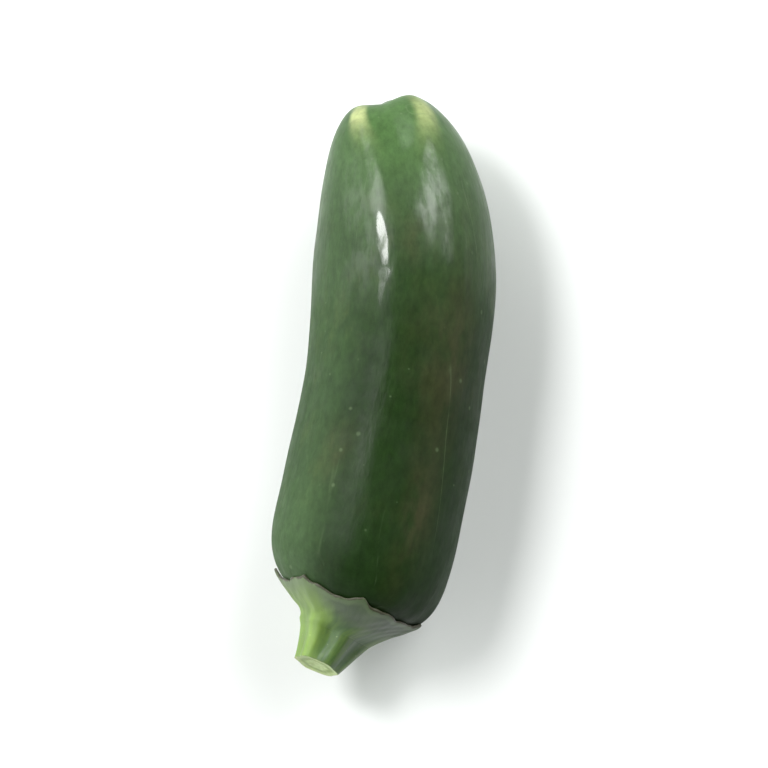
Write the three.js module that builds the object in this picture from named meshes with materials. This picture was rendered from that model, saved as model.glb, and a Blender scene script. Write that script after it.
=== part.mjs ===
// A green jalapeno chilli pepper, as picked, lying on its side on a flat surface.
// Millimetres, +Z up. The pod runs along +Y from its stem end to its tip, and bends sideways, in the
// plane of the surface that it lies on. The origin is under the middle of the whole pepper.
//
// Every piece is turned on a lathe about the Y axis, and then each of its points is moved to its place
// on the bent pod: a point is given by how far along it is, how far out it is, and the angle round.
import * as THREE from 'three';

// ---- Pod ----
const POD_LENGTH = 73.2; // along its bent centreline
const POD_RADIUS = 13.1; // half the width at the shoulder
const POD_HEIGHT_SHARE = 0.97; // a section's height as a share of its width
const SHOULDER_LENGTH = 14.6; // the stem end, from flat to full width
const SHOULDER_SQUARENESS = 3.3; // exponent of its superellipse: 2 is round, more is squarer
const TIP_LENGTH = 28; // the taper to the tip
const TIP_SQUARENESS = 2.35;
const WAIST_DEPTH = 0.3; // how much the middle draws in
const WAIST_AT = 33; // along the centreline
const WAIST_SPREAD = 8;
const TIP_SWING = 5; // sideways, from the stem end's line
const BELLY_SWING = 12.4; // sideways pull of the centreline's second handle
const STEM_END_SWING = 4.9; // sideways pull of its first handle
const TIP_LIFT = 0.7; // the tip's rise off the surface
const BASE_LEAN = THREE.MathUtils.degToRad(12); // the stem end faces this much to the side

// ---- Lobes: one for each seed chamber, seen as soft ridges that end in knobs at the tip ----
// Degrees round from +X, at the tip and along the body; rise is how far the knob stands up at the tip.
const LOBES = [
  { atTip: 42, onBody: 72, rise: 0.7 },
  { atTip: 148, onBody: 106, rise: 1.3 },
  { atTip: 284, onBody: 275, rise: 2.2 },
];
const LOBE_SPREAD = 36; // degrees
const BODY_RIDGE = 0.35; // how far a lobe stands out along the body
const TIP_RIDGE = 1; // and beside the tip
const KNOB_RADIUS = 6.2; // where on the tip the knobs stand
const DIMPLE_DEPTH = 1.5; // the hollow between the knobs
const DIMPLE_RADIUS = 2.6;

// ---- Where it rests ----
const REST_FLAT = 0.35; // the underside is pressed flat by this much

// ---- Calyx, the cap on the shoulder ----
const SEAT_GAP = 0.3; // between the cap and the pod
const CALYX_RADIUS = 9.3;
const CALYX_RIM = 0.7; // thickness at its edge
const COLLAR_HEIGHT = 2.2; // from the pod's end to the top of the collar, where the stem starts
const TOOTH_LENGTH = 1;
const TOOTH_POINT = 4; // a higher power makes narrower teeth
const RIB_COUNT = 6; // ribs on the stem, each of which runs out into a tooth of the cap
const RIB_TURN = THREE.MathUtils.degToRad(6); // turns the ribs and the teeth round from +X

// ---- Stem ----
const STEM_LENGTH = 5; // from the collar to the cut
const STEM_SHIFT = 0.9; // the collar stands this far to the side of the cap's middle
const STEM_BASE_RADIUS = 4.9;
const STEM_CUT_RADIUS = 3.1;
const STEM_RIB_DEPTH = 0.3;
const STEM_SIDE_BEND = 0.4; // sideways, at the cut
const STEM_LIFT = 0.7; // upwards, at the cut
const STEM_GAP = 0.3; // between the collar and the stem

// ---- Mesh fineness ----
const POD_SEGMENTS = 48;
const POD_RINGS = 44;
const CALYX_SEGMENTS = 54;
const CALYX_RINGS = 9; // on its underside
const FLARE_RINGS = 6; // from its rim to the collar
const STEM_SEGMENTS = 36;
const STEM_RINGS = 8;

const { clamp, degToRad, lerp, smoothstep } = THREE.MathUtils;

// The centreline, from the stem end to the tip. It is straight beyond both ends.
const centreline = new THREE.CubicBezierCurve3(
  new THREE.Vector3(0, 0, 0),
  new THREE.Vector3(STEM_END_SWING, POD_LENGTH / 3, 0),
  new THREE.Vector3(BELLY_SWING, (POD_LENGTH * 2) / 3, 0),
  new THREE.Vector3(TIP_SWING, POD_LENGTH, TIP_LIFT),
);
const UP = new THREE.Vector3(0, 0, 1);

// Centre, forward, side and up at a length along the centreline.
function frameAt(along) {
  const share = clamp(along / POD_LENGTH, 0, 1);
  const forward = centreline.getTangentAt(share);
  const side = new THREE.Vector3().crossVectors(forward, UP).normalize();
  const up = new THREE.Vector3().crossVectors(side, forward);
  const centre = centreline.getPointAt(share).addScaledVector(forward, along - share * POD_LENGTH);
  return { centre, forward, side, up };
}

const base = frameAt(0);
// The stem end faces along this direction, which leans to the side of the centreline.
const stemward = base.forward.clone().negate().applyAxisAngle(UP, -BASE_LEAN);
const stemSide = new THREE.Vector3().crossVectors(stemward, UP).normalize();

// How far out the skin is at a length along the pod, before its lobes.
function skinRadius(along) {
  const rise = 1 - Math.min(along / SHOULDER_LENGTH, 1);
  const fall = Math.max((along - (POD_LENGTH - TIP_LENGTH)) / TIP_LENGTH, 0);
  const shoulder = (1 - rise ** SHOULDER_SQUARENESS) ** (1 / SHOULDER_SQUARENESS);
  const tip = (1 - fall ** TIP_SQUARENESS) ** (1 / TIP_SQUARENESS);
  const waist = WAIST_DEPTH * Math.exp(-(((along - WAIST_AT) / WAIST_SPREAD) ** 2));
  return (POD_RADIUS - waist) * shoulder * tip;
}

// The length along the pod at which the shoulder is this far out: the inverse of skinRadius there.
function shoulderAt(out) {
  const share = Math.min(out / POD_RADIUS, 1);
  return SHOULDER_LENGTH * (1 - (1 - share ** SHOULDER_SQUARENESS) ** (1 / SHOULDER_SQUARENESS));
}

// The lobes' height round the pod, each weighted by one of its values, or by 1. The upper two draw
// together from the tip to the body.
function lobeHeight(angle, tipShare, weight = () => 1) {
  return LOBES.reduce((sum, lobe) => {
    const crest = degToRad(lerp(lobe.onBody, lobe.atTip, tipShare));
    const turn = Math.atan2(Math.sin(angle - crest), Math.cos(angle - crest));
    return sum + weight(lobe) * Math.exp(-((turn / degToRad(LOBE_SPREAD)) ** 2));
  }, 0);
}
const MEAN_LOBE = 0.56; // so that the lobes leave the pod's width about as it is

// A point of the pod's skin, lobes and tip knobs included.
function podPoint(along, out, angle) {
  const tipShare = smoothstep(along, POD_LENGTH - TIP_LENGTH, POD_LENGTH);
  const ridge = lerp(BODY_RIDGE, TIP_RIDGE, tipShare) / POD_RADIUS;
  const r = out * (1 + ridge * (lobeHeight(angle, tipShare) - MEAN_LOBE));

  const atTip = along > POD_LENGTH / 2 ? 1 : 0;
  const knobShare = (out / KNOB_RADIUS) ** 2;
  const knob = knobShare * Math.exp(1 - knobShare) * lobeHeight(angle, tipShare, (lobe) => lobe.rise);
  const dimple = DIMPLE_DEPTH * Math.exp(-((out / DIMPLE_RADIUS) ** 2));

  const baseShare = 1 - smoothstep(along, 0, SHOULDER_LENGTH);
  const lean = Math.tan(BASE_LEAN) * baseShare * r * Math.cos(angle);

  const { centre, forward, side, up } = frameAt(along);
  return centre
    .addScaledVector(forward, atTip * (knob - dimple) - lean)
    .addScaledVector(side, r * Math.cos(angle))
    .addScaledVector(up, r * Math.sin(angle) * POD_HEIGHT_SHARE);
}

// A piece turned on a lathe from its outline, then moved point by point to its place.
function shaped(outline, segments, place) {
  const geometry = new THREE.LatheGeometry(outline, segments);
  const points = geometry.getAttribute('position');
  for (let i = 0; i < points.count; i++) {
    const out = Math.hypot(points.getX(i), points.getZ(i));
    const angle = Math.atan2(points.getZ(i), points.getX(i));
    const p = place(points.getY(i), out, angle);
    points.setXYZ(i, p.x, p.y, p.z);
  }
  geometry.computeVertexNormals();
  return geometry;
}

function named(name, geometry, color, roughness) {
  const mesh = new THREE.Mesh(geometry, new THREE.MeshStandardMaterial({ color, roughness, metalness: 0 }));
  mesh.name = name;
  return mesh;
}

// ---- The pod ----
function podOutline() {
  const dense = [];
  const steps = 400;
  for (let i = 0; i <= steps; i++) {
    const turn = (Math.PI * i) / steps; // crowds the steps at both ends, where the skin turns fastest
    const along = (POD_LENGTH * (1 - Math.cos(turn))) / 2;
    dense.push(new THREE.Vector2(skinRadius(along), along));
  }
  return new THREE.SplineCurve(dense).getSpacedPoints(POD_RINGS);
}

const restHeight = -POD_RADIUS * POD_HEIGHT_SHARE + REST_FLAT;

function podOnSurface(along, out, angle) {
  const p = podPoint(along, out, angle);
  p.z = Math.max(p.z, restHeight);
  return p;
}

const pod = named('pod', shaped(podOutline(), POD_SEGMENTS, podOnSurface), 0x2c4a1e, 0.3);

// ---- The calyx: its outline is (how far out, height off the pod's skin) ----
const RIM_TOP = SEAT_GAP + CALYX_RIM;

function calyxOutline() {
  const outline = [];
  const crowding = 1.6; // closer rings towards the rim, where the shoulder turns fastest
  for (let i = 0; i <= CALYX_RINGS; i++) {
    const share = 1 - (1 - i / CALYX_RINGS) ** crowding;
    outline.push(new THREE.Vector2(CALYX_RADIUS * share, SEAT_GAP));
  }
  const flare = new THREE.CubicBezierCurve(
    new THREE.Vector2(CALYX_RADIUS, RIM_TOP),
    new THREE.Vector2(lerp(STEM_BASE_RADIUS, CALYX_RADIUS, 0.5), RIM_TOP),
    new THREE.Vector2(lerp(STEM_BASE_RADIUS, CALYX_RADIUS, 0.2), lerp(RIM_TOP, COLLAR_HEIGHT, 0.5)),
    new THREE.Vector2(STEM_BASE_RADIUS, COLLAR_HEIGHT),
  );
  outline.push(...flare.getPoints(FLARE_RINGS), new THREE.Vector2(0, COLLAR_HEIGHT));
  return outline;
}

// The teeth stand out at the rim and fade towards the collar.
function toothReach(out, angle) {
  const tooth = (0.5 + 0.5 * Math.cos(RIB_COUNT * (angle - RIB_TURN))) ** TOOTH_POINT;
  return out + TOOTH_LENGTH * tooth * smoothstep(out, STEM_BASE_RADIUS, CALYX_RADIUS);
}

// A point of the pod's shoulder, this far out.
const seatPoint = (out, angle) => podPoint(shoulderAt(out), out, angle);

// The shoulder's outward direction there, which is the stem's own on the axis.
function seatNormal(out, angle) {
  const step = 0.05;
  const here = seatPoint(out + step, angle);
  const outwards = seatPoint(out + 2 * step, angle).sub(here);
  const round = seatPoint(out + step, angle + step).sub(here);
  const normal = outwards.cross(round).normalize();
  return stemward.clone().lerp(normal, smoothstep(out, 0, STEM_BASE_RADIUS)).normalize();
}

// The cap is an even layer on the shoulder up to its rim's top, and above that rises along the stem.
function calyxPoint(height, out, angle) {
  const reach = toothReach(out, angle);
  const layer = Math.min(height, RIM_TOP);
  const shift = STEM_SHIFT * smoothstep(height, RIM_TOP, COLLAR_HEIGHT);
  return seatPoint(reach, angle)
    .addScaledVector(seatNormal(reach, angle), layer)
    .addScaledVector(stemward, height - layer)
    .addScaledVector(stemSide, shift);
}

const calyx = named('calyx', shaped(calyxOutline().reverse(), CALYX_SEGMENTS, calyxPoint), 0x5f7f3c, 0.6);

// ---- The stem ----
const stemStart = base.centre
  .clone()
  .addScaledVector(stemward, COLLAR_HEIGHT + STEM_GAP)
  .addScaledVector(stemSide, STEM_SHIFT);
const stemLine = new THREE.QuadraticBezierCurve3(
  stemStart,
  stemStart.clone().addScaledVector(stemward, STEM_LENGTH / 2),
  stemStart
    .clone()
    .addScaledVector(stemward, STEM_LENGTH)
    .addScaledVector(stemSide, STEM_SIDE_BEND)
    .addScaledVector(UP, STEM_LIFT),
);

function stemOutline() {
  const outline = [new THREE.Vector2(0, 0)];
  for (let i = 0; i <= STEM_RINGS; i++) {
    const share = i / STEM_RINGS;
    const radius = lerp(STEM_BASE_RADIUS, STEM_CUT_RADIUS, share ** 0.8);
    outline.push(new THREE.Vector2(radius, share * STEM_LENGTH));
  }
  outline.push(new THREE.Vector2(0, STEM_LENGTH));
  return outline;
}

function stemPoint(along, out, angle) {
  const share = along / STEM_LENGTH;
  const forward = stemLine.getTangentAt(share);
  const side = new THREE.Vector3().crossVectors(forward, UP).normalize();
  const up = new THREE.Vector3().crossVectors(side, forward);
  const crest = Math.cos(RIB_COUNT * (Math.PI - angle - RIB_TURN)); // its side points to -X, the cap's to +X
  const rib = 1 + (STEM_RIB_DEPTH / STEM_BASE_RADIUS) * crest;
  return stemLine
    .getPointAt(share)
    .addScaledVector(side, out * rib * Math.cos(angle))
    .addScaledVector(up, out * rib * Math.sin(angle));
}

const stem = named('stem', shaped(stemOutline(), STEM_SEGMENTS, stemPoint), 0x7d9a4a, 0.6);

// ---- The whole pepper, with its origin under the middle of its box ----
const pepper = new THREE.Group();
pepper.add(pod, calyx, stem);
const box = new THREE.Box3().setFromObject(pepper, true);
const middle = box.getCenter(new THREE.Vector3());
pepper.position.set(-middle.x, -middle.y, -box.min.z);

export default pepper;
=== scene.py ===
import math

import bpy
import numpy as np
from bpy.props import FloatProperty, FloatVectorProperty, IntProperty, PointerProperty
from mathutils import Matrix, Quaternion, Vector, noise


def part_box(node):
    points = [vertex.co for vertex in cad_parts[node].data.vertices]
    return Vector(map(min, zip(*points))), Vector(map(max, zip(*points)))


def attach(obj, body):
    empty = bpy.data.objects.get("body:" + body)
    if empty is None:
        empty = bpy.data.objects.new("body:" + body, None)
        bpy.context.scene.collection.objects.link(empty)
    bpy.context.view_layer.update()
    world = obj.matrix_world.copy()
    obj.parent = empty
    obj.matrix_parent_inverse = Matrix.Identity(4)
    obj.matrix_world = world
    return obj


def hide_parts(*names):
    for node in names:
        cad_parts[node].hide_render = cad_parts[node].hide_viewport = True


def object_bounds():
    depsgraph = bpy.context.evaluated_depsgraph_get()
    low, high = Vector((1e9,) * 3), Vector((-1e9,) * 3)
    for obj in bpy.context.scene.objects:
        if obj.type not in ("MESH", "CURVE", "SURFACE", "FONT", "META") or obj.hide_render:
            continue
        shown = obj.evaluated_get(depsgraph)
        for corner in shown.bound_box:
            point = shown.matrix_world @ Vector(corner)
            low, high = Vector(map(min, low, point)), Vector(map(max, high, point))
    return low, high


bl_info = {
    "name": "Green Chilli Pepper",
    "version": (1, 0, 0),
    "blender": (4, 5, 0),
    "location": "3D View > Sidebar > Pepper",
    "description": "Grows the fine pod, calyx and stem of a green jalapeno around its frame, and lights them",
    "category": "Add Mesh",
}

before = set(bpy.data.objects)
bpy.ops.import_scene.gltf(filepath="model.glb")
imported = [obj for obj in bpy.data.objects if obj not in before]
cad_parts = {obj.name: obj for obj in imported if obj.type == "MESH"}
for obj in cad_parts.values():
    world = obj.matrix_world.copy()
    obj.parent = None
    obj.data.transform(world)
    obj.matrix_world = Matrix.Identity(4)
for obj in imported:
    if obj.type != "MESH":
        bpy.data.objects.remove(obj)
FRAME_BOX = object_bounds()

MM = 0.001
UP = np.array((0.0, 0.0, 1.0))

# The seed chambers: where each one's ridge stands at the tip and on the body, in degrees round from +X,
# and how far its knob stands up at the tip, in millimetres.
LOBES = (
    (42, 72, 0.7),
    (148, 106, 1.3),
    (284, 275, 2.2),
)
MEAN_LOBE = 0.56  # takes off what the ridges add to the mean radius
SMOOTHING = 2  # times that each straight body is subdivided
EIGHTHS = [step / 8 for step in range(1, 9)]  # steps of an outline
LEAN_LOSS = 0.65  # how much less the stem end leans on the side that bulges

# The sharper crests of the two upper ridges and the lower one: angle at the tip and on the body, in degrees.
CRESTS = (
    (128, 104),
    (46, 72),
    (284, 276),
)
FURROWS = (88, 206, 345)  # between the lobes, in degrees

# Soft unevenness of the skin. Height and size are in millimetres, and a stretch below 1 draws it out along.
SWELLS = (
    # height, size, stretch, seed
    (0.13, 13.0, 1.0, 1),
    (0.08, 5.5, 1.0, 2),
    (0.03, 2.8, 0.5, 4),
)

# Places on the skin. Lengths are in millimetres along the pod and across it, and angles are in degrees.
BRONZE_PATCHES = (
    # along, angle, length, spread, strength
    (37, 56, 12, 24, 0.6),
    (15, 60, 8, 11, 0.75),
    (53, 84, 5, 14, 0.35),
    (22, 116, 5, 10, 0.35),
    (40, 250, 12, 20, 0.5),
)
PITS = (
    # along, angle, radius, depth
    (55.5, 68, 0.42, 0.05),
    (34.5, 48, 0.30, 0.03),
    (22.0, 84, 0.25, 0.03),
    (45.0, 200, 0.40, 0.05),
    (28.0, 318, 0.35, 0.05),
)
DENTS = (
    # along, angle, radius, depth
    (47.0, 112, 3.2, 0.10),
    (30.0, 150, 5.0, 0.16),
    (25.0, 60, 4.5, 0.12),
    (40.0, 340, 5.0, 0.18),
    (56.0, 215, 4.0, 0.14),
    (51.5, 106, 0.9, 0.045),
    (47.0, 101, 0.8, 0.040),
)

# The cap's teeth as shares of the tooth length, counted round from the rib nearest +X.
TEETH = (0.8, 0.6, 0.8, 1.6, 1.1, 0.7)

# The studio's soft fill light, in degrees: where each glow is, and how far out it is full and ends.
FILLS = (
    # azimuth, elevation, full within, ends at, radiance
    (182, 12, 25, 47, 2.8),
    (115, 21, 3, 17, 5.6),
    (133, 41, 3, 18, 5.6),
    (52, 42, 9, 23, 8.0),
    (27, 26, 4, 19, 5.5),
    (250, 15, 10, 45, 0.35),
)
FILL_EVERYWHERE = 0.03
FILL_COLOUR = (0.97, 1.0, 0.97)


# ---- Settings ----

def length(name, description, millimetres):
    """A length setting, given here in millimetres and kept in metres."""
    return FloatProperty(
        name=name, description=description, default=millimetres * MM, unit="LENGTH", subtype="DISTANCE"
    )


def turn(name, description, degrees):
    """An angle setting, given here in degrees."""
    return FloatProperty(
        name=name, description=description, default=math.radians(degrees), unit="ROTATION", subtype="ANGLE"
    )


def number(name, description, default):
    """A setting with no unit."""
    return FloatProperty(name=name, description=description, default=default)


def count(name, description, default, least=12):
    """A whole number, and the least it can be."""
    return IntProperty(name=name, description=description, default=default, min=least)


def colour(name, description, rgb):
    """A colour setting, in linear light."""
    return FloatVectorProperty(
        name=name, description=description, default=rgb, size=3, min=0.0, max=1.0, subtype="COLOR"
    )


class PodSettings(bpy.types.PropertyGroup):
    """Size and colours of the pod."""

    length: length("Length", "Along the bent middle line", 73.2)
    radius: length("Radius", "Half the width at the shoulder", 13.1)
    height_share: number("Height share", "A section's height as a share of its width", 0.97)
    shoulder_length: length("Shoulder length", "Stem end, from flat to full width", 14.6)
    shoulder_squareness: number("Shoulder squareness", "2 is round, more is squarer", 3.3)
    tip_length: length("Tip length", "The taper to the tip", 28)
    tip_squareness: number("Tip squareness", "2 is round, more is squarer", 2.35)
    waist_depth: length("Waist depth", "How much the middle draws in", 0.3)
    waist_at: length("Waist place", "Along the pod", 33)
    waist_spread: length("Waist spread", "How far the waist reaches", 8)
    tip_swing: length("Tip swing", "Sideways place of the tip", 5)
    belly_swing: length("Belly swing", "Sideways pull on the middle line near the tip", 12.4)
    stem_end_swing: length("Stem end swing", "Sideways pull near the stem end", 4.9)
    tip_lift: length("Tip lift", "The tip's rise off the surface", 0.7)
    base_lean: turn("Base lean", "The stem end faces this much to the side", 12)
    lobe_spread: turn("Lobe spread", "How wide a ridge is round the pod", 36)
    body_ridge: length("Body ridge", "How far a ridge stands out along the body", 0.35)
    tip_ridge: length("Tip ridge", "How far it stands out beside the tip", 1)
    knob_radius: length("Knob place", "How far out the knobs stand on the tip", 6.2)
    dimple_depth: length("Dimple depth", "The hollow between the knobs", 1.5)
    dimple_radius: length("Dimple radius", "The hollow's radius", 2.6)
    rest_flat: length("Flat underneath", "How far the underside is pressed flat", 0.35)
    crest_height: length("Crest height", "The sharper crests, on the tip's half", 0.42)
    bend_crest: length("Crest at the bend", "Their extra height where the pod bends", 0.36)
    furrow_depth: length("Furrow depth", "Between the lobes, beside the tip", 0.55)
    waist_fill: length("Waist fill", "How far the waist is filled on top", 0.28)
    pucker: length("Pucker", "Height of the folds under the cap's edge", 0.09)
    scar_height: length("Scar height", "The flower's scar, in the dimple", 0.25)
    segments: count("Segments", "Round the pod, before smoothing", 60)
    rings: count("Rings", "Along the pod, before smoothing", 60)
    # The darkest green serves the dark blotches, and also the painted shade on the +X flank and the stem's
    # half.
    deep_green: colour("Deep green", "Skin in its darkest parts", (0.0080, 0.0215, 0.0046))
    mid_green: colour("Mid green", "Skin over most of the body", (0.0205, 0.0465, 0.0105))
    # This paler green also serves as painted light down the flank towards -X.
    young_green: colour("Young green", "Skin of the tip's half", (0.050, 0.092, 0.037))
    tip_green: colour("Tip green", "Youngest skin, round the tip", (0.053, 0.110, 0.033))
    knob_yellow: colour("Knob yellow", "Pale ends of the lobes", (0.340, 0.380, 0.170))
    olive: colour("Olive", "Small warmer blotches", (0.038, 0.053, 0.014))
    bronze: colour("Bronze", "Sunned patches", (0.050, 0.046, 0.021))
    speck: colour("Speck", "Pale dots and fine scratches", (0.110, 0.160, 0.080))
    scar: colour("Scar", "Corky scar at the tip", (0.100, 0.065, 0.030))
    pit: colour("Pit", "Small dark pits", (0.012, 0.016, 0.007))


class CalyxSettings(bpy.types.PropertyGroup):
    """Size and colours of the cap, and the ribs that it shares with the stem."""

    radius: length("Radius", "To the edge between two teeth", 9.2)
    tooth_length: length("Tooth length", "How far the teeth stand out", 1.3)
    edge: length("Edge thickness", "At the rim", 0.32)
    layer: length("Layer", "Thickness where it lies on the shoulder", 1.0)
    collar_height: length("Collar height", "From the pod's end to where the stem starts", 2.2)
    rib_count: count("Ribs", "Each runs from the stem out to a tooth", 6, 3)
    rib_turn: turn("Rib turn", "Turns the ribs and the teeth round", 6)
    segments: count("Segments", "Round the cap and the stem, before smoothing", 72)
    green: colour("Green", "The cap's flesh", (0.041, 0.064, 0.031))
    # The vein colour also serves as painted light on the cap's side towards -X.
    vein: colour("Vein", "Paler ribs and veins", (0.102, 0.150, 0.064))
    dried: colour("Dried edge", "The brown margin", (0.034, 0.030, 0.016))


class StemSettings(bpy.types.PropertyGroup):
    """Size and colours of the cut stem."""

    length: length("Length", "From the collar to the cut", 5.1)
    base_radius: length("Base radius", "At the collar", 4.9)
    cut_radius: length("Cut radius", "At the cut", 3.1)
    shift: length("Shift", "The collar's place, sideways from the cap's middle", 0.9)
    side_bend: length("Side bend", "Sideways, at the cut", 0.4)
    lift: length("Lift", "Upwards, at the cut", 0.7)
    rib_depth: length("Rib depth", "Half the height of a rib", 0.38)
    cut_slope: number("Cut slope", "How far the cut leans back at its top, per unit of width", 0.21)
    green: colour("Green", "The stem's sides", (0.052, 0.100, 0.032))
    # The rib colour also serves as painted light on the stem's side towards -X.
    rib: colour("Rib", "Paler ribs", (0.168, 0.272, 0.042))
    flesh: colour("Flesh", "Pale pith at the cut", (0.460, 0.560, 0.260))
    ring: colour("Ring", "Darker ring round the pith", (0.190, 0.280, 0.070))


class StageSettings(bpy.types.PropertyGroup):
    """Floor, lights and camera."""

    floor_size: length("Floor size", "Side of the floor", 8000)
    floor_colour: colour("Floor colour", "Pale, plain floor", (0.77, 0.78, 0.78))
    elevation: turn("Camera elevation", "Above the horizon, from the stem's side", 82)
    distance: length("Camera distance", "From the middle of the pepper", 640)
    lens: number("Lens", "Focal length in millimetres", 215)
    key_azimuth: turn("Key azimuth", "The key light's direction, round from +X", 150)
    key_elevation: turn("Key elevation", "Above the horizon", 56)
    key_roll: turn("Key roll", "Turns the oval round its direction", 45)
    key_distance: length("Key distance", "From the middle of the pepper", 600)
    key_width: length("Key width", "Across the oval", 240)
    key_height: length("Key height", "Up the oval", 160)
    key_radiance: number("Key radiance", "Brightness of the oval", 26.5)


# ---- Form: where each point of the pepper lies ----

def smoothstep(x, low, high):
    share = np.clip((x - low) / (high - low), 0, 1)
    return share * share * (3 - 2 * share)


def bell(away):
    """1 in the middle, falling softly to both sides."""
    return np.exp(-(away ** 2))


def unit(vectors):
    return vectors / np.linalg.norm(vectors, axis=-1, keepdims=True)


def turned_by(angle, crest):
    """How far each angle is from a crest, from -pi to pi."""
    return np.arctan2(np.sin(angle - crest), np.cos(angle - crest))


class PodForm:
    """The pod's bent and lobed form, from arrays: length along the pod, distance out, and angle round."""

    def __init__(self, s):
        self.s = s
        self.handles = np.array((
            (0, 0, 0),
            (s.stem_end_swing, s.length / 3, 0),
            (s.belly_swing, s.length * 2 / 3, 0),
            (s.tip_swing, s.length, s.tip_lift),
        ))
        self.steps = np.linspace(0, 1, 401)
        strides = np.linalg.norm(np.diff(self.curve(self.steps), axis=0), axis=1)
        travelled = np.concatenate(([0], np.cumsum(strides)))
        self.shares = travelled / travelled[-1]
        self.rest_height = s.rest_flat - s.radius * s.height_share
        self.move = np.zeros(3)
        self.move = self.frame_place()
        self.stemward = self.stem_direction()
        self.cap_side = unit(np.cross(-self.stemward, UP))

    def curve(self, t):
        a, b, c, d = self.handles
        t = t[:, None]
        return a * (1 - t) ** 3 + 3 * b * t * (1 - t) ** 2 + 3 * c * t * t * (1 - t) + d * t ** 3

    def slope(self, t):
        a, b, c, d = self.handles
        t = t[:, None]
        return unit((b - a) * (1 - t) ** 2 + 2 * (c - b) * t * (1 - t) + (d - c) * t * t)

    def axes_at(self, along):
        """Centre, forward, side and up at each length along the pod."""
        t = np.interp(np.clip(along / self.s.length, 0, 1), self.shares, self.steps)
        forward = self.slope(t)
        side = unit(np.cross(forward, UP))
        return self.curve(t), forward, side, np.cross(side, forward)

    def skin_radius(self, along):
        s = self.s
        rise = 1 - np.clip(along / s.shoulder_length, 0, 1)
        fall = np.clip((along - (s.length - s.tip_length)) / s.tip_length, 0, 1)
        shoulder = (1 - rise ** s.shoulder_squareness) ** (1 / s.shoulder_squareness)
        tip = (1 - fall ** s.tip_squareness) ** (1 / s.tip_squareness)
        waist = s.waist_depth * bell((along - s.waist_at) / s.waist_spread)
        return (s.radius - waist) * shoulder * tip

    def shoulder_at(self, out):
        """The length along the pod at which the shoulder is this far out."""
        s = self.s
        share = np.clip(out / s.radius, 0, 1)
        return s.shoulder_length * (1 - (1 - share ** s.shoulder_squareness) ** (1 / s.shoulder_squareness))

    def tip_share(self, along):
        return smoothstep(along, self.s.length - self.s.tip_length, self.s.length)

    def lobe_height(self, angle, tip_share, weights=(1, 1, 1)):
        total = np.zeros_like(angle)
        for (at_tip, on_body, _), weight in zip(LOBES, weights):
            crest = np.radians(on_body + (at_tip - on_body) * tip_share)
            total += weight * bell(turned_by(angle, crest) / self.s.lobe_spread)
        return total

    def point(self, along, out, angle, swell=0.0, push=0.0):
        """Where each point lies. Swell moves it away from the middle line, and push along it."""
        s = self.s
        tip_share = self.tip_share(along)
        ridge = (s.body_ridge + (s.tip_ridge - s.body_ridge) * tip_share) / s.radius
        r = out * (1 + ridge * (self.lobe_height(angle, tip_share) - MEAN_LOBE)) + swell

        at_tip = along > s.length / 2
        knob_share = (out / s.knob_radius) ** 2
        rises = [rise * MM for _, _, rise in LOBES]
        knob = knob_share * np.exp(1 - knob_share) * self.lobe_height(angle, tip_share, rises)
        dimple = s.dimple_depth * bell(out / s.dimple_radius)
        base_share = 1 - smoothstep(along, 0, s.shoulder_length)
        upright = 1 - LEAN_LOSS * smoothstep(np.cos(angle), -0.1, 1.0)
        lean = math.tan(s.base_lean) * base_share * r * np.cos(angle) * upright

        centre, forward, side, up = self.axes_at(along)
        advance = at_tip * (knob - dimple) - lean + push
        across = r * np.cos(angle)
        above = r * np.sin(angle) * s.height_share
        placed = centre + advance[:, None] * forward + across[:, None] * side + above[:, None] * up
        return placed + self.move

    def rested(self, points):
        """Presses the underside flat on the surface below."""
        points[:, 2] = np.maximum(points[:, 2], self.rest_height + self.move[2])
        return points

    def frame_place(self):
        """Moves the form to where the frame's pod is."""
        along, angle = np.meshgrid(np.linspace(0, self.s.length, 240), np.linspace(0, 2 * np.pi, 120))
        along, angle = along.ravel(), angle.ravel()
        skin = self.point(along, self.skin_radius(along), angle)
        low, high = (np.array(corner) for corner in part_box("pod"))
        middle = (low + high) / 2 - (skin.min(axis=0) + skin.max(axis=0)) / 2
        return np.array((middle[0], high[1] - skin[:, 1].max(), low[2] - self.rest_height))

    def stem_direction(self):
        """The way that the stem end faces: back along the pod, and leaning to the side."""
        back = -self.slope(np.zeros(1))[0]
        c, s = math.cos(-self.s.base_lean), math.sin(-self.s.base_lean)
        return np.array((c * back[0] - s * back[1], s * back[0] + c * back[1], back[2]))

    def seat(self, out, angle):
        """A point on the shoulder, where the cap lies."""
        return self.point(self.shoulder_at(out), out, angle)

    def seat_normal(self, out, angle, level_within):
        step = 0.05
        here = self.seat(out + step * MM, angle)
        outwards = self.seat(out + 2 * step * MM, angle) - here
        around = self.seat(out + step * MM, angle + step) - here
        share = smoothstep(out, 0, level_within)[:, None]
        return unit(self.stemward * (1 - share) + unit(np.cross(outwards, around)) * share)


class StalkForm:
    """Cap and stem as one form: height off the pod's end, distance out, and angle round."""

    def __init__(self, pod, cap, stem):
        self.pod, self.cap, self.stem = pod, cap, stem
        self.foot = pod.point(np.zeros(1), np.zeros(1), np.zeros(1))[0]

    def crest(self, angle):
        """From -1 in a groove to 1 on a rib."""
        return np.cos(self.cap.rib_count * (angle - self.cap.rib_turn))

    def point(self, height, out, angle):
        pod, cap, stem = self.pod, self.cap, self.stem
        layer = np.minimum(height, cap.layer)
        laid = pod.seat(out, angle) + layer[:, None] * pod.seat_normal(out, angle, stem.base_radius)
        laid = laid + (height - layer)[:, None] * pod.stemward
        across, above = out * np.cos(angle), out * np.sin(angle)
        risen = self.foot + height[:, None] * pod.stemward
        risen = risen + across[:, None] * pod.cap_side + above[:, None] * UP
        share = smoothstep(height, cap.layer, cap.collar_height)[:, None]
        along = np.clip((height - cap.collar_height) / stem.length, 0, None)[:, None]
        shift = -pod.cap_side * (stem.shift * share + stem.side_bend * along ** 2)
        return laid * (1 - share) + risen * share + shift + UP * stem.lift * along ** 2


# ---- Modelling steps ----

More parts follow.
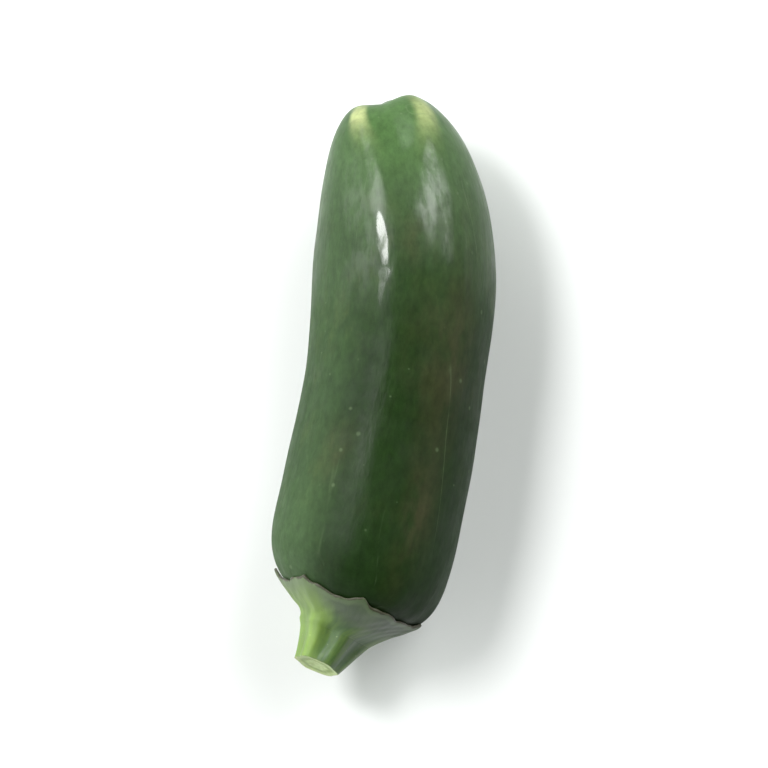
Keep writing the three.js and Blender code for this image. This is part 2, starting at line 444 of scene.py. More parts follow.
def turned(name, outline, segments, smoothing, creased=()):
    """A closed straight body: a circle drawn out ring by ring along Z, with both ends brought to a point.

    The outline is a list of (distance out, height), and its first and last points are on the axis.
    """
    bpy.ops.object.select_all(action="DESELECT")
    start, end = outline[0][1], outline[-1][1]
    rings = outline[1:-1]
    radius, height = rings[0]
    bpy.ops.mesh.primitive_circle_add(vertices=segments, radius=radius, location=(0, 0, height))
    piece = bpy.context.object
    piece.name = piece.data.name = name
    bpy.ops.object.transform_apply(location=True, rotation=True, scale=True)
    bpy.ops.object.mode_set(mode="EDIT")
    bpy.ops.mesh.select_mode(type="EDGE")
    bpy.ops.mesh.select_all(action="SELECT")
    if 0 in creased:
        bpy.ops.transform.edge_crease(value=1)
    for index, (next_radius, next_height) in enumerate(rings[1:], 1):
        step = (0, 0, next_height - height)
        bpy.ops.mesh.extrude_region_move(TRANSFORM_OT_translate={"value": step})
        share = next_radius / radius
        bpy.ops.transform.resize(value=(share, share, 1), center_override=(0, 0, next_height))
        if index in creased:
            bpy.ops.transform.edge_crease(value=1)
        radius, height = next_radius, next_height
    close_end(end - height)
    bpy.ops.mesh.select_all(action="DESELECT")
    bpy.ops.mesh.select_non_manifold()
    close_end(start - rings[0][1])
    bpy.ops.mesh.select_all(action="SELECT")
    bpy.ops.mesh.normals_make_consistent(inside=False)
    bpy.ops.object.mode_set(mode="OBJECT")
    smooth_by_subdivision(piece, smoothing)
    return piece


def close_end(rise):
    """Draws the selected ring out to its middle and joins it there."""
    bpy.ops.mesh.extrude_region_move(TRANSFORM_OT_translate={"value": (0, 0, rise)})
    bpy.ops.mesh.merge(type="CENTER")


def smooth_by_subdivision(piece, levels):
    bpy.ops.object.modifier_add(type="SUBSURF")
    modifier = piece.modifiers[-1]
    modifier.levels = modifier.render_levels = levels
    bpy.ops.object.modifier_apply(modifier=modifier.name)


def measured(piece):
    """The points of a straight body, and each one's height, distance out and angle round."""
    straight = np.empty(len(piece.data.vertices) * 3)
    piece.data.vertices.foreach_get("co", straight)
    straight = straight.reshape(-1, 3)
    x, y, height = straight.T
    return straight, height, np.hypot(x, y), np.arctan2(y, x)


def moved_to(piece, points):
    piece.data.vertices.foreach_set("co", points.astype(np.float32).ravel())
    piece.data.update()


def painted(piece, **masks):
    """Keeps values or vectors for each vertex, for the materials to read."""
    for name, values in masks.items():
        values = np.asarray(values, dtype=np.float32)
        kind, key = ("FLOAT_VECTOR", "vector") if values.ndim == 2 else ("FLOAT", "value")
        piece.data.attributes.new(name, kind, "POINT").data.foreach_set(key, values.ravel())


def field(points, size, seed):
    """Smooth random values, about -1 to 1, whose swells are this size."""
    offset = Vector((seed * 3.1, seed * 7.7, seed * -5.3))
    return np.array([noise.noise(Vector(p) / size + offset) for p in points])


def finished(piece, material, node, sharp_from):
    """Gives the piece its material and smooth shading up to an angle in degrees, hangs it on the root and
    hides the frame's part of that node.
    """
    piece.data.materials.append(material)
    bpy.ops.object.shade_smooth_by_angle(angle=math.radians(sharp_from))
    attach(piece, "root")
    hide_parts(node)


def patches_on_skin(along, angle, patches):
    """Sum of soft oval patches, each given by along, angle, length, spread in degrees and strength."""
    total = np.zeros_like(along)
    for patch_along, patch_angle, long, spread, strength in patches:
        away_round = turned_by(angle, math.radians(patch_angle)) / math.radians(spread)
        total += strength * bell((along - patch_along * MM) / (long * MM)) * bell(away_round)
    return total


def spots_on_skin(along, angle, spots, pod_radius):
    """Sum of soft round spots, each given by along, angle, radius and strength."""
    spread = math.degrees(MM / pod_radius)
    patches = [(*place, radius, radius * spread, strength) for *place, radius, strength in spots]
    return patches_on_skin(along, angle, patches)


# ---- Materials ----

class Nodes:
    """Adds nodes to one tree. What an input is given is either a socket, which is linked, or a constant."""

    def __init__(self, tree):
        self.tree = tree

    def add(self, kind, *inputs, props=None, **named):
        node = self.tree.nodes.new("ShaderNode" + kind)
        for key, value in (props or {}).items():
            setattr(node, key, value)
        for key, value in list(enumerate(inputs)) + list(named.items()):
            self.feed(node.inputs[key], value)
        return node

    def feed(self, socket, value):
        if isinstance(value, bpy.types.NodeSocket):
            self.tree.links.new(value, socket)
        elif value is not None:
            if socket.type == "RGBA" and len(value) == 3:
                value = (*value, 1.0)
            socket.default_value = value

    def attribute(self, name, output="Fac"):
        return self.add("Attribute", props={"attribute_name": name}).outputs[output]

    def math(self, operation, *values, clamp=False):
        return self.add("Math", *values, props={"operation": operation, "use_clamp": clamp}).outputs[0]

    def times(self, *values, clamp=False):
        return self.math("MULTIPLY", *values, clamp=clamp)

    def plus(self, *values, clamp=False):
        return self.math("ADD", *values, clamp=clamp)

    def mix(self, factor, a, b, blend="MIX"):
        node = self.tree.nodes.new("ShaderNodeMix")
        node.data_type = "RGBA"
        node.blend_type = blend
        for index, value in ((0, factor), (6, a), (7, b)):
            self.feed(node.inputs[index], value)
        return node.outputs[2]

    def range(self, value, low, high, to_low=0.0, to_high=1.0, smooth=True):
        kind = "SMOOTHSTEP" if smooth else "LINEAR"
        node = self.add("MapRange", value, low, high, to_low, to_high, props={"interpolation_type": kind})
        return node.outputs[0]

    def stretched(self, vector, scale):
        return self.add("Mapping", vector, Scale=scale).outputs[0]

    def noise(self, vector, scale, detail=3.0, roughness=0.55, distortion=0.0):
        node = self.add(
            "TexNoise", Vector=vector, Scale=scale, Detail=detail, Roughness=roughness, Distortion=distortion
        )
        return node.outputs["Fac"]

    def group(self, name, **inputs):
        node = self.tree.nodes.new("ShaderNodeGroup")
        node.node_tree = bpy.data.node_groups[name]
        for key, value in inputs.items():
            self.feed(node.inputs[key.replace("_", " ")], value)
        return node.outputs[0]


def node_group(name, output, **inputs):
    """A new group. Its output is (label, kind), and an input is its kind or a number's default."""
    tree = bpy.data.node_groups.new(name, "ShaderNodeTree")
    for label, kind in inputs.items():
        is_number = isinstance(kind, float)
        socket_type = "NodeSocket" + ("Float" if is_number else kind)
        socket = tree.interface.new_socket(label, in_out="INPUT", socket_type=socket_type)
        if is_number:
            socket.default_value = kind
    tree.interface.new_socket(output[0], in_out="OUTPUT", socket_type="NodeSocket" + output[1])
    given, result = tree.nodes.new("NodeGroupInput").outputs, tree.nodes.new("NodeGroupOutput").inputs[0]
    return Nodes(tree), given, result


def build_mottling():
    """Large and small blotches between two colours."""
    n, given, result = node_group(
        "Mottling", ("Color", "Color"), Vector="Vector", Scale=100.0, Dark="Color", Light="Color"
    )
    broad = n.noise(given["Vector"], given["Scale"], 2.0, 0.5, 0.3)
    fine = n.noise(given["Vector"], n.times(given["Scale"], 7.0), 4.0, 0.6)
    blend = n.plus(n.times(broad, 0.68), n.times(fine, 0.32))
    n.feed(result, n.mix(n.range(blend, 0.36, 0.64), given["Dark"], given["Light"]))


def build_specks():
    """Small scattered dots, 1 at their middles."""
    n, given, result = node_group(
        "Specks", ("Mask", "Float"), Vector="Vector", Scale=900.0, Size=0.2, Share=0.3
    )
    cells = n.add("TexVoronoi", Vector=given["Vector"], Scale=given["Scale"])
    chosen = n.add("SeparateColor", cells.outputs["Color"])
    is_chosen = n.math("LESS_THAN", chosen.outputs[0], given["Share"])
    own_size = n.times(given["Size"], n.range(chosen.outputs[1], 0, 1, 0.5, 1.2, smooth=False))
    inner = n.times(own_size, 0.4)
    dot = n.add("MapRange", cells.outputs["Distance"], inner, own_size, 1.0, 0.0)
    n.feed(result, n.times(dot.outputs[0], is_chosen))


def build_hairlines():
    """Thin broken lines, as fine scratches leave."""
    n, given, result = node_group("Hairlines", ("Mask", "Float"), Vector="Vector", Scale=60.0, Width=0.006)
    wander = n.noise(given["Vector"], given["Scale"], 1.0, 0.4, 0.6)
    off_line = n.math("ABSOLUTE", n.math("SUBTRACT", wander, 0.5))
    line = n.add("MapRange", off_line, 0.0, given["Width"], 1.0, 0.0)
    patches = n.noise(given["Vector"], n.times(given["Scale"], 3.3), 2.0, 0.6)
    patches = n.range(patches, 0.52, 0.62)
    n.feed(result, n.times(line.outputs[0], patches))


def build_grain():
    """The height of fine cells on a plant's skin."""
    n, given, result = node_group("Cell grain", ("Height", "Float"), Vector="Vector", Scale=2500.0)
    cells = n.add("TexVoronoi", Vector=given["Vector"], Scale=given["Scale"], props={"feature": "SMOOTH_F1"})
    coarse = n.noise(given["Vector"], n.times(given["Scale"], 0.2), 4.0, 0.6)
    n.feed(result, n.math("SUBTRACT", n.times(coarse, 1.6), n.times(cells.outputs[0], 0.5)))


def build_ribbed_flesh():
    """Green flesh with pale ribs and fibres, which run from the stem into the cap."""
    n, given, result = node_group(
        "Ribbed flesh", ("Color", "Color"),
        Vector="Vector", Spoke="Vector", Rib=0.0, Green="Color", Pale="Color",
    )
    blotches = n.noise(given["Vector"], 420.0, 4.0, 0.6)
    fibres = n.noise(given["Spoke"], 1700.0, 4.0, 0.62)
    unevenness = n.range(blotches, 0.3, 0.7, -0.14, 0.14, smooth=False)
    share = n.plus(n.times(given["Rib"], 0.85), unevenness)
    share = n.plus(share, n.range(fibres, 0.3, 0.7, -0.08, 0.16), clamp=True)
    n.feed(result, n.mix(share, given["Green"], given["Pale"]))


def build_groups():
    build_ribbed_flesh()
    build_mottling()
    build_specks()
    build_hairlines()
    build_grain()


def new_material(name, **constants):
    """A material with only its shader. Gives the material, its nodes and the shader."""
    material = bpy.data.materials.new(name)
    material.use_nodes = True
    shader = material.node_tree.nodes["Principled BSDF"]
    for key, value in constants.items():
        shader.inputs[key.replace("_", " ")].default_value = value
    return material, Nodes(material.node_tree), shader


def feed_shader(n, shader, tone, roughness, height):
    """Links the shader's colour and roughness, and a fine relief whose height is in millimetres."""
    bump = n.add("Bump", Height=height, Distance=MM, Strength=0.6)
    n.feed(shader.inputs["Base Color"], tone)
    n.feed(shader.inputs["Roughness"], roughness)
    n.feed(shader.inputs["Normal"], bump.outputs[0])


def skin_material(s):
    material, n, shader = new_material(
        "Waxy skin", IOR=1.38, Specular_IOR_Level=0.22, Coat_Roughness=0.08, Coat_IOR=1.45
    )
    place = n.attribute("straight", "Vector")
    grown = n.stretched(place, (1, 1, 0.45))
    tone = n.group("Mottling", Vector=grown, Scale=75.0, Dark=s.deep_green, Light=s.mid_green)
    streaks = n.noise(n.stretched(place, (1, 1, 0.05)), 900.0, 3.0, 0.6)
    tone = n.mix(n.range(streaks, 0.35, 0.75, 0.0, 0.22), tone, s.mid_green)

    olive = n.noise(n.stretched(place, (1, 1, 0.6)), 190.0, 5.0, 0.68)
    tone = n.mix(n.range(olive, 0.50, 0.72, 0.0, 0.7), tone, s.olive)
    # Painted shade: the darkest green is laid over the +X flank and the middle of the stem's half.
    tone = n.mix(n.times(n.attribute("deep"), 0.85), tone, s.deep_green)

    # Each broad colour lies where its mask is, broken up by clouds. The first one's paler green is also
    # painted light down the flank towards -X.
    cloudy = n.noise(place, 260.0, 4.0, 0.65)
    drawn_clouds = n.noise(grown, 230.0, 5.0, 0.6)
    for mask, clouds, ends, paint in (
        ("young", cloudy, (0.2, 0.7, 0.7, 1.0), s.young_green),
        ("tip", cloudy, (0.2, 0.6, 0.65, 1.0), s.tip_green),
        ("knob", cloudy, (0.3, 0.62, 0.7, 1.0), s.knob_yellow),
        ("bronze", drawn_clouds, (0.32, 0.66, 0.0, 1.0), s.bronze),
    ):
        tone = n.mix(n.times(n.attribute(mask), n.range(clouds, *ends), clamp=True), tone, paint)

    dots = n.group("Specks", Vector=place, Scale=560.0, Share=0.24)
    tone = n.mix(n.times(dots, 0.34), tone, s.speck)
    drawn_out = n.stretched(place, (1, 1, 0.12))
    scratches = n.group("Hairlines", Vector=drawn_out, Scale=110.0, Width=0.006)
    tone = n.mix(n.times(scratches, 0.35), tone, s.speck)
    uneven = n.noise(n.stretched(place, (1, 1, 0.6)), 1000.0, 4.0, 0.65)
    tone = n.mix(1.0, tone, n.range(uneven, 0.3, 0.7, 0.80, 1.20, smooth=False), blend="MULTIPLY")
    tone = n.mix(n.attribute("scar"), tone, s.scar)
    tone = n.mix(n.times(n.attribute("pit"), 0.55), tone, s.pit)

    wear = n.noise(place, 330.0, 4.0, 0.6)
    marks = n.plus(n.times(scratches, 0.15), n.times(n.attribute("pit"), 0.2))
    marks = n.plus(marks, n.times(n.attribute("dull"), 0.22))
    roughness = n.plus(n.range(wear, 0.3, 0.7, 0.29, 0.42), marks, clamp=True)
    grain = n.group("Cell grain", Vector=place, Scale=2600.0)
    ripples = n.noise(n.stretched(place, (1, 1, 0.3)), 700.0, 3.0, 0.55)
    height = n.plus(n.times(grain, 0.008), n.times(ripples, 0.13))
    feed_shader(n, shader, tone, roughness, height)

    # Bloom and fine wear take the gloss off where the skin turns away.
    facing = n.add("LayerWeight", 0.5).outputs["Facing"]
    gloss = n.range(facing, 0.12, 0.44, 0.8, 0.03)
    dull_tip = n.range(n.attribute("tip"), 0.3, 1.0, 1.0, 0.4)
    worn = n.range(n.noise(n.stretched(place, (1, 1, 0.35)), 520.0, 4.0, 0.62), 0.38, 0.60, 0.15, 1.0)
    coat = n.times(n.times(n.times(gloss, dull_tip), worn), n.attribute("glossy"))
    n.feed(shader.inputs["Coat Weight"], coat)
    return material


def calyx_material(s, stem):
    material, n, shader = new_material("Calyx flesh", IOR=1.45, Coat_Weight=0.15, Coat_Roughness=0.3)
    place, spoke = n.attribute("straight", "Vector"), n.attribute("spoke", "Vector")
    ribbed = {"Vector": place, "Spoke": spoke, "Rib": n.attribute("rib")}
    # The pale of the ribbed flesh is also painted light on the side towards -X.
    leaf = n.group("Ribbed flesh", **ribbed, Green=s.green, Pale=s.vein)
    neck = n.group("Ribbed flesh", **ribbed, Green=stem.green, Pale=stem.rib)
    tone = n.mix(n.attribute("neck"), leaf, neck)
    dots = n.group("Specks", Vector=place, Scale=1300.0, Share=0.2)
    tone = n.mix(n.times(dots, 0.2), tone, s.dried)

    # A pale band, and a thin dried margin outside it.
    ragged = n.range(n.noise(place, 900.0, 4.0, 0.65), 0.25, 0.75, -0.12, 0.12, smooth=False)
    rim = n.plus(n.attribute("edge"), ragged)
    tone = n.mix(n.times(n.range(rim, 0.35, 0.6), 0.45), tone, s.vein)
    tone = n.mix(n.times(n.range(rim, 0.80, 0.94), 0.9), tone, s.dried)

    veins = n.noise(spoke, 1500.0, 4.0, 0.6)
    grain = n.group("Cell grain", Vector=place, Scale=3200.0)
    height = n.plus(n.times(veins, 0.04), n.times(grain, 0.02))
    feed_shader(n, shader, tone, n.range(veins, 0.3, 0.7, 0.42, 0.6), height)
    return material


def stem_material(s):
    material, n, shader = new_material(
        "Stem flesh", IOR=1.45, Coat_Weight=0.15, Coat_Roughness=0.25, Subsurface_Weight=0.08,
        Subsurface_Scale=2 * MM,
    )
    place, spoke = n.attribute("straight", "Vector"), n.attribute("spoke", "Vector")
    ribbed = {"Vector": place, "Spoke": spoke, "Rib": n.attribute("rib")}
    # The pale of the ribbed flesh is also painted light on the side towards -X.
    tone = n.group("Ribbed flesh", **ribbed, Green=s.green, Pale=s.rib)
    dots = n.group("Specks", Vector=place, Scale=1500.0, Share=0.3)
    tone = n.mix(n.times(dots, 0.3), tone, s.flesh)

    # The cut face: pale pith, a darker ring, and the skin's green at its rim.
    cut = n.attribute("cut")
    pith = n.noise(place, 1900.0, 4.0, 0.65)
    out = n.plus(n.attribute("cut_out"), n.range(pith, 0.2, 0.8, -0.05, 0.05, smooth=False))
    ring = n.times(n.range(out, 0.42, 0.58), n.range(out, 0.66, 0.82, 1.0, 0.0))
    face = n.mix(n.range(pith, 0.3, 0.8, 0.0, 0.6), s.flesh, s.rib)
    face = n.mix(n.times(ring, 0.75), face, s.ring)
    face = n.mix(n.range(out, 0.95, 1.02), face, s.green)
    tone = n.mix(cut, tone, face)

    fibres = n.noise(spoke, 1700.0, 4.0, 0.62)
    roughness = n.plus(n.range(fibres, 0.3, 0.7, 0.38, 0.55), n.times(cut, 0.12))
    grain = n.group("Cell grain", Vector=place, Scale=3200.0)
    height = n.plus(n.times(fibres, 0.05), n.times(grain, 0.02))
    height = n.plus(height, n.times(n.times(cut, pith), 0.12))
    feed_shader(n, shader, tone, roughness, height)
    return material


def floor_material(floor_colour):
    material, _, shader = new_material("Studio floor", Roughness=0.85, Specular_IOR_Level=0.2)
    shader.inputs["Base Color"].default_value = (*floor_colour, 1)
    return material


# ---- Pieces ----

def pod_outline(form, rings):
    """Rings at even steps along the skin, from the stem end to the tip."""
    along = form.s.length * (1 - np.cos(np.linspace(0, np.pi, 2001))) / 2
    out = form.skin_radius(along)
    travelled = np.concatenate(([0], np.cumsum(np.hypot(np.diff(along), np.diff(out)))))
    at = np.interp(np.linspace(0, travelled[-1], rings + 1), travelled, along)
    return [(float(form.skin_radius(np.array(a))), float(a)) for a in at]


def crest_share(angle, tip_share):
    """1 along the sharp crests, which lean over quickly towards their knobs."""
    total = np.zeros_like(angle)
    for at_tip, on_body in CRESTS:
        crest = np.radians(on_body + (at_tip - on_body) * tip_share ** 5)
        spread = np.radians(21 - 8 * tip_share ** 2)
        total += bell(turned_by(angle, crest) / spread)
    return total


def pod_relief(form, straight, along, out, angle):
    """How far the skin stands out from the plain form, and how far the scar stands up."""
    s = form.s
    tip_share = form.tip_share(along)
    swells = sum(
        height * field(straight * (1, 1, stretch), size * MM, seed) for height, size, stretch, seed in SWELLS
    )
    swells = swells * smoothstep(out, 0, s.radius / 2)
    dents = spots_on_skin(along, angle, DENTS + PITS, s.radius)
    swell = MM * (swells - dents)

    crests = crest_share(angle, tip_share)
    at_bend = bell((along - 46.5 * MM) / (8.5 * MM))
    beside_tip = smoothstep(along, 40 * MM, 60 * MM) * smoothstep(out, 2 * MM, 5 * MM)
    swell += crests * (s.bend_crest * at_bend + s.crest_height * beside_tip)

    on_top = smoothstep(np.sin(angle), 0.5, 0.9)
    swell += s.waist_fill * on_top * bell((along - s.waist_at) / s.waist_spread)

    # Soft furrows run from the dimple between the lobes.
    for between in FURROWS:
        across = bell(turned_by(angle, math.radians(between)) / math.radians(15))
        swell -= s.furrow_depth * across * tip_share ** 2 * smoothstep(out, 1 * MM, 4 * MM)

    # The shoulder puckers under the cap's edge.
    wander = 1.25 * field(straight, 6 * MM, 3)
    under_cap = smoothstep(out, 6 * MM, 9 * MM) * (1 - smoothstep(along, 1.5 * MM, 7.5 * MM))
    swell += s.pucker * np.sin(15 * angle + wander) * under_cap

    scar = s.scar_height * bell(out / (0.7 * MM)) * (along > s.length / 2)
    return swell, scar


def paint_skin(piece, form, straight, along, out, angle):
    """Keeps the places and the masks that the skin's material reads."""
    s = form.s
    side, above = np.cos(angle), np.sin(angle)
    at_tip = along > s.length / 2
    from_tip = s.length - along
    bulging = smoothstep(side, -0.1, 0.5)

    # The skin is paler towards the tip, where it is younger, and towards -X, where the paler green is painted
    # light on the lit flank.
    young_tip = (1 - smoothstep(from_tip, 10 * MM, 36 * MM)) * (0.75 + 0.25 * bulging)
    young_flank = smoothstep(-side, 0.25, 0.8) * (0.55 + 0.3 * (1 - smoothstep(along, 0, 25 * MM)))
    tip_green = (1 - smoothstep(from_tip, 2 * MM, 19 * MM)) * (0.4 + 0.6 * smoothstep(above, -0.2, 0.75))

    # Painted shade: the darkest green lies towards +X, and all over the stem's half but for its side towards
    # -X.
    deep_flank = smoothstep(side, 0.1, 0.8) * smoothstep(from_tip, 18 * MM, 45 * MM)
    deep_half = 0.9 * smoothstep(side, -0.60, -0.30) * (1 - smoothstep(along, 26 * MM, 48 * MM))

    # The tip's half is glossy, and the stem's half is duller down both flanks.
    glossy = smoothstep(along, 40 * MM, 51 * MM)
    flanks = smoothstep(-side, 0.0, 0.35) + smoothstep(side, 0.35, 0.7)

    # The ends of the lobes are pale.
    knob_out = s.knob_radius * (1.06 + 0.16 * bulging)
    knobs = bell((out - knob_out) / (s.knob_radius * 0.32)) * at_tip * (1 - 0.2 * bulging)
    knobs = knobs * smoothstep(crest_share(angle, form.tip_share(along)), 0.35, 0.95)

    painted(
        piece,
        straight=straight,
        young=np.maximum(young_tip, young_flank),
        deep=np.maximum(deep_flank, deep_half),
        tip=tip_green * (1 - 0.55 * smoothstep(-side, 0.35, 0.75)),
        glossy=glossy,
        dull=(1 - glossy) * flanks,
        knob=np.clip(knobs, 0, 1),
        bronze=np.clip(patches_on_skin(along, angle, BRONZE_PATCHES), 0, 1),
        pit=np.clip(14 * spots_on_skin(along, angle, PITS, s.radius), 0, 1),
        scar=bell(out / (1.1 * MM)) * at_tip,
    )


def grow_pod(form):
    pod = form.s
    piece = turned("chilli_pod", pod_outline(form, pod.rings), pod.segments, SMOOTHING)
    straight, along, out, angle = measured(piece)
    swell, push = pod_relief(form, straight, along, out, angle)
    moved_to(piece, form.rested(form.point(along, out, angle, swell, push)))
    paint_skin(piece, form, straight, along, out, angle)
    finished(piece, skin_material(pod), "pod", 60)


def stalk_skin(form, height, angle, straight):
    """Ribs and small unevenness shared by the cap and the stem, as a change of distance out."""
    cap, stem = form.cap, form.stem
    rise = smoothstep(height, cap.layer * 0.8, cap.collar_height)
    wander = field(straight, 4 * MM, 5)
    ribs = stem.rib_depth * form.crest(angle + 0.10 * wander)
    fibres = 0.012 * MM * np.sin(25 * angle + 4 * wander)
    lumps = 0.08 * MM * field(straight, 2.2 * MM, 6)
    return (ribs + fibres + lumps) * rise


def tooth_share(cap, angle):
    """How far the rim stands out round the cap: most at a tooth's point, and nothing between teeth."""
    # The upper tooth towards +X stands nearer to the top than its rib does.
    leaned = angle - 0.24 * bell(turned_by(angle, 1.3) / 0.5)
    position = (leaned - cap.rib_turn) / (2 * np.pi) * cap.rib_count
    nearest = np.round(position)
    lengths = np.resize(TEETH, cap.rib_count)
    away = np.abs(position - nearest) * 2
    return lengths[nearest.astype(int) % cap.rib_count] * (1 - away) ** 2.6


def spokes(angle, beyond):
    """Places for a pattern that is drawn out along the ribs. It runs on from the cap into the stem."""
    return np.column_stack((np.cos(angle), np.sin(angle), beyond * 30)) * 0.004


def ribs_and_painted_light(form, angle):
    """1 where a rib is pale. The side towards -X is pale between its ribs as well: painted light on the lit
    side.
    """
    crest = smoothstep(form.crest(angle), -0.6, 1.0)
    painted_light_side = smoothstep(-np.cos(angle), -0.1, 0.65)
    return painted_light_side * (0.7 + 0.3 * crest) + (1 - painted_light_side) * 0.20 * crest


def fit_calyx(form):
    cap, base, collar = form.cap, form.stem.base_radius, form.cap.collar_height
    # The underside and the rim, then the flare up to the collar, then the flat top.
    outline = [(cap.radius * share, 0) for share in (0, 0.25, 0.5, 0.7, 0.85, 0.94, 0.985, 1)]
    outline += [(cap.radius * 1.004, cap.edge * 0.5), (cap.radius * 0.998, cap.edge)]
    for share in EIGHTHS:
        flare = base + (cap.radius - base) * (1 - share) ** 1.15
        outline.append((flare, cap.edge + (collar - cap.edge) * share ** 2.1))
    collar_ring = len(outline) - 2
    outline += [(base * share, collar) for share in (0.85, 0.4, 0)]
    piece = turned("chilli_calyx", outline, cap.segments, SMOOTHING, creased=(collar_ring,))
    straight, height, out, angle = measured(piece)

    # The rim runs out into teeth, is a little ragged between them, and reaches further over the top.
    teeth = tooth_share(cap, angle)
    ragged = 0.14 * np.sin(13 * angle + 1.3) + 0.06 * np.sin(23 * angle) + 0.03 * np.sin(37 * angle + 2)
    over_top = 0.9 * smoothstep(np.sin(angle - 0.3), 0.1, 0.9)
    reach = cap.tooth_length * teeth + (ragged + over_top) * MM
    reached = out + reach * smoothstep(out, base, cap.radius) ** 2

    # Veins and a fine wave stand up from the upper face, and the teeth lift a little off the skin.
    upper = smoothstep(height, 0, cap.edge)
    vein = 0.16 * MM * np.clip(form.crest(angle), 0, 1) ** 2 * smoothstep(out, base * 0.9, base * 1.3)
    wave = 0.02 * MM * np.sin(22 * angle + 40 * out / cap.radius) * (out <= cap.radius * 1.001)
    relief = (vein + wave * upper) * upper * (1 - smoothstep(height, cap.edge * 2, collar))
    lift = 0.06 * MM * teeth * smoothstep(out, cap.radius * 0.9, cap.radius)
    raised = height + relief + lift
    shaped = reached + stalk_skin(form, raised, angle, straight) * smoothstep(out, 0, base * 0.8)
    moved_to(piece, form.point(raised, shaped, angle))

    # Towards -X the stem's paler green reaches further out over the cap. This is painted light on the lit
    # side, over the stem's own colour at the collar.
    painted_lit_side = smoothstep(-np.cos(angle), -0.1, 0.5)
    painted(
        piece,
        straight=straight,
        spoke=spokes(angle, base - out),
        neck=1 - smoothstep(out / base, 1 + 0.25 * painted_lit_side, 1.5 + 0.5 * painted_lit_side),
        # The rib mask also holds painted light on the side towards -X.
        rib=ribs_and_painted_light(form, angle),
        edge=np.clip(1 - (cap.radius * 1.004 - out) / (1.3 * MM), 0, 1),
    )
    finished(piece, calyx_material(cap, form.stem), "calyx", 50)


def cut_stem(form):
    cap, stem, base, collar = form.cap, form.stem, form.stem.base_radius, form.cap.collar_height
    top = collar + stem.length
    # The foot, the taper to the cut, a small bevel, then the cut with a sunken ring and a sunken middle.
    outline = [(base * share, collar) for share in (0, 0.4, 0.85, 1)]
    foot_ring = len(outline) - 2
    for share in EIGHTHS:
        outline.append((base + (stem.cut_radius - base) * share ** 0.78, collar + stem.length * share))
    outline.append((stem.cut_radius - 0.10 * MM, top + 0.04 * MM))
    for share, sink in ((0.88, -0.02), (0.74, 0.05), (0.62, 0.12), (0.50, 0.10), (0.25, 0.22), (0, 0.3)):
        outline.append((stem.cut_radius * share, top - sink * MM))
    piece = turned("chilli_stem", outline, cap.segments, SMOOTHING, creased=(foot_ring,))
    straight, height, out, angle = measured(piece)

    # The cut leans back and is a little uneven. The ribs fade towards it and towards its middle.
    share = np.clip((height - collar) / stem.length, 0, 1)
    leaned = height - stem.cut_slope * share ** 3 * out * np.sin(angle)
    leaned += 0.10 * MM * field(straight, 1.8 * MM, 8) * share ** 6
    fade = smoothstep(out, 0, stem.cut_radius * 0.8) * (1 - 0.6 * share)
    shaped = out + stalk_skin(form, height, angle, straight) * fade
    moved_to(piece, form.point(leaned, shaped, angle))

    near_top = smoothstep(height, top - 0.45 * MM, top - 0.25 * MM)
    inside_rim = 1 - smoothstep(out, stem.cut_radius * 0.975, stem.cut_radius * 1.01)
    painted(
        piece,
        straight=straight,
        spoke=spokes(angle, height - collar),
        # The rib mask also holds painted light on the side towards -X.
        rib=ribs_and_painted_light(form, angle),
        cut=near_top * inside_rim,
        cut_out=np.clip(out / stem.cut_radius, 0, 1),
    )
    finished(piece, stem_material(stem), "stem", 50)


# ---- Stage ----

def lay_floor(stage):
    bpy.ops.object.select_all(action="DESELECT")
    bpy.ops.mesh.primitive_plane_add(size=stage.floor_size, location=(0, 0, 0))
    floor = bpy.context.object
    floor.name = "studio_floor"
    floor.data.materials.append(floor_material(stage.floor_colour))


def toward(azimuth, elevation):
    """A direction, with the azimuth counted round from +X."""
    level = math.cos(elevation)
    return Vector((level * math.cos(azimuth), level * math.sin(azimuth), math.sin(elevation)))


def hang_key(stage, centre):
    """One oval softbox, which faces the pepper and is rolled round its own direction."""
    direction = toward(stage.key_azimuth, stage.key_elevation)
    bpy.ops.object.light_add(type="AREA", location=centre + direction * stage.key_distance)
    lamp = bpy.context.object
    lamp.name = "key_softbox"
    lamp.data.shape = "ELLIPSE"
    lamp.data.size, lamp.data.size_y = stage.key_width, stage.key_height
    area = math.pi / 4 * stage.key_width * stage.key_height
    lamp.data.energy = stage.key_radiance * math.pi * area
    roll = Quaternion((0, 0, 1), stage.key_roll)
    lamp.rotation_euler = (direction.to_track_quat("Z", "Y") @ roll).to_euler()


def light_world():
    """Soft glows all round, with no edges to be seen in a glossy skin."""
    world = bpy.data.worlds.new("Studio")
    bpy.context.scene.world = world
    world.use_nodes = True
    n = Nodes(world.node_tree)
    looking = n.add("TexCoord").outputs["Generated"]
    total = FILL_EVERYWHERE
    for azimuth, elevation, inner, outer, radiance in FILLS:
        direction = toward(math.radians(azimuth), math.radians(elevation))
        near = n.add("VectorMath", looking, direction, props={"operation": "DOT_PRODUCT"})
        ends = (math.cos(math.radians(outer)), math.cos(math.radians(inner)))
        glow = n.range(near.outputs["Value"], *ends, 0.0, radiance)
        total = n.plus(glow, total)
    background = world.node_tree.nodes["Background"]
    background.inputs["Color"].default_value = (*FILL_COLOUR, 1)
    n.feed(background.inputs["Strength"], total)


def place_camera(stage, centre):
    bpy.ops.object.camera_add()
    camera = bpy.context.object
    camera.name = "studio_camera"
    back = Vector((0, -math.cos(stage.elevation), math.sin(stage.elevation)))
    camera.location = centre + back * stage.distance
    camera.rotation_euler = (-back).to_track_quat("-Z", "Y").to_euler()
    camera.data.lens = stage.lens
    camera.data.clip_start, camera.data.clip_end = 0.01, 20
    camera.data.dof.use_dof = False
    bpy.context.scene.camera = camera


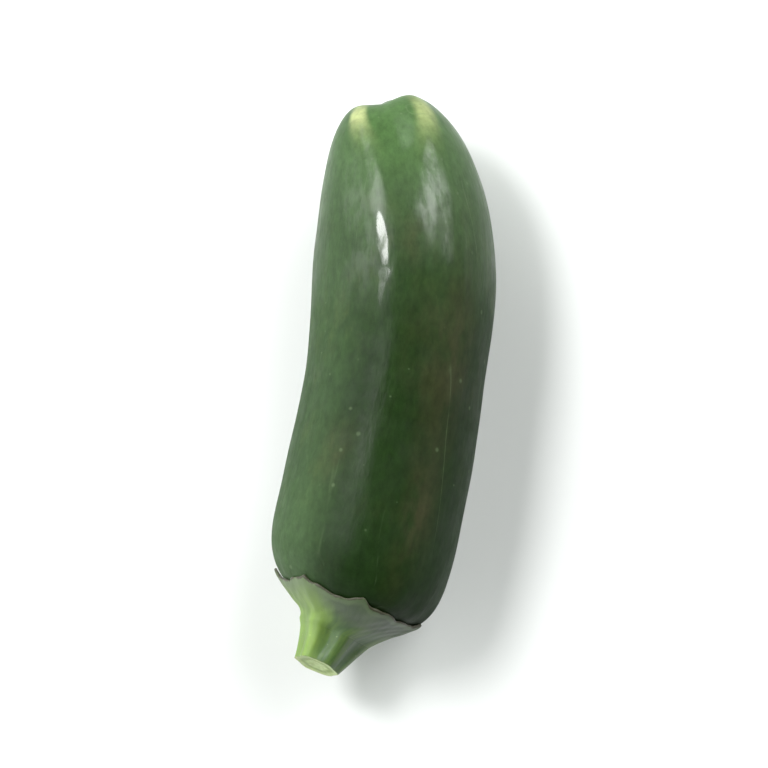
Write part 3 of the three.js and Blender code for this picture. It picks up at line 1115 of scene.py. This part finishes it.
def set_stage(stage):
    low, high = FRAME_BOX
    centre = (Vector(low) + Vector(high)) / 2
    lay_floor(stage)
    hang_key(stage, centre)
    light_world()
    place_camera(stage, centre)
    bpy.context.scene.view_settings.view_transform = "Standard"


# ---- Operators, panel and registration ----

class PEPPER_OT_grow_pod(bpy.types.Operator):
    """Grows the fine pod in place of the frame's plain one"""

    bl_idname = "pepper.grow_pod"
    bl_label = "Grow Pod"

    def execute(self, context):
        grow_pod(PodForm(context.scene.pepper_pod))
        return {"FINISHED"}


def stalk_form(scene):
    """The cap's and the stem's form, seated on the pod's."""
    return StalkForm(PodForm(scene.pepper_pod), scene.pepper_calyx, scene.pepper_stem)


class PEPPER_OT_fit_calyx(bpy.types.Operator):
    """Fits the toothed cap on the pod's shoulder"""

    bl_idname = "pepper.fit_calyx"
    bl_label = "Fit Calyx"

    def execute(self, context):
        fit_calyx(stalk_form(context.scene))
        return {"FINISHED"}


class PEPPER_OT_cut_stem(bpy.types.Operator):
    """Makes the ribbed stem, cut across"""

    bl_idname = "pepper.cut_stem"
    bl_label = "Cut Stem"

    def execute(self, context):
        cut_stem(stalk_form(context.scene))
        return {"FINISHED"}


class PEPPER_OT_set_stage(bpy.types.Operator):
    """Lays the floor and sets the lights and the camera"""

    bl_idname = "pepper.set_stage"
    bl_label = "Set Stage"

    def execute(self, context):
        set_stage(context.scene.pepper_stage)
        return {"FINISHED"}


class PEPPER_PT_panel(bpy.types.Panel):
    """Lists the steps and their settings"""

    bl_label = "Chilli Pepper"
    bl_space_type = "VIEW_3D"
    bl_region_type = "UI"
    bl_category = "Pepper"

    def draw(self, context):
        for operator, name, _ in STEPS:
            box = self.layout.box()
            box.operator(operator.bl_idname)
            settings = getattr(context.scene, name)
            for key in settings.__annotations__:
                box.prop(settings, key)


STEPS = (
    # operator, name of its settings, their group
    (PEPPER_OT_grow_pod, "pepper_pod", PodSettings),
    (PEPPER_OT_fit_calyx, "pepper_calyx", CalyxSettings),
    (PEPPER_OT_cut_stem, "pepper_stem", StemSettings),
    (PEPPER_OT_set_stage, "pepper_stage", StageSettings),
)


def register():
    for operator, name, group in STEPS:
        bpy.utils.register_class(group)
        setattr(bpy.types.Scene, name, PointerProperty(type=group))
        bpy.utils.register_class(operator)
    bpy.utils.register_class(PEPPER_PT_panel)


def unregister():
    bpy.utils.unregister_class(PEPPER_PT_panel)
    for operator, name, group in reversed(STEPS):
        bpy.utils.unregister_class(operator)
        delattr(bpy.types.Scene, name)
        bpy.utils.unregister_class(group)


def main():
    register()
    build_groups()
    bpy.ops.pepper.grow_pod()
    bpy.ops.pepper.fit_calyx()
    bpy.ops.pepper.cut_stem()
    bpy.ops.pepper.set_stage()


if __name__ == "__main__":
    main()
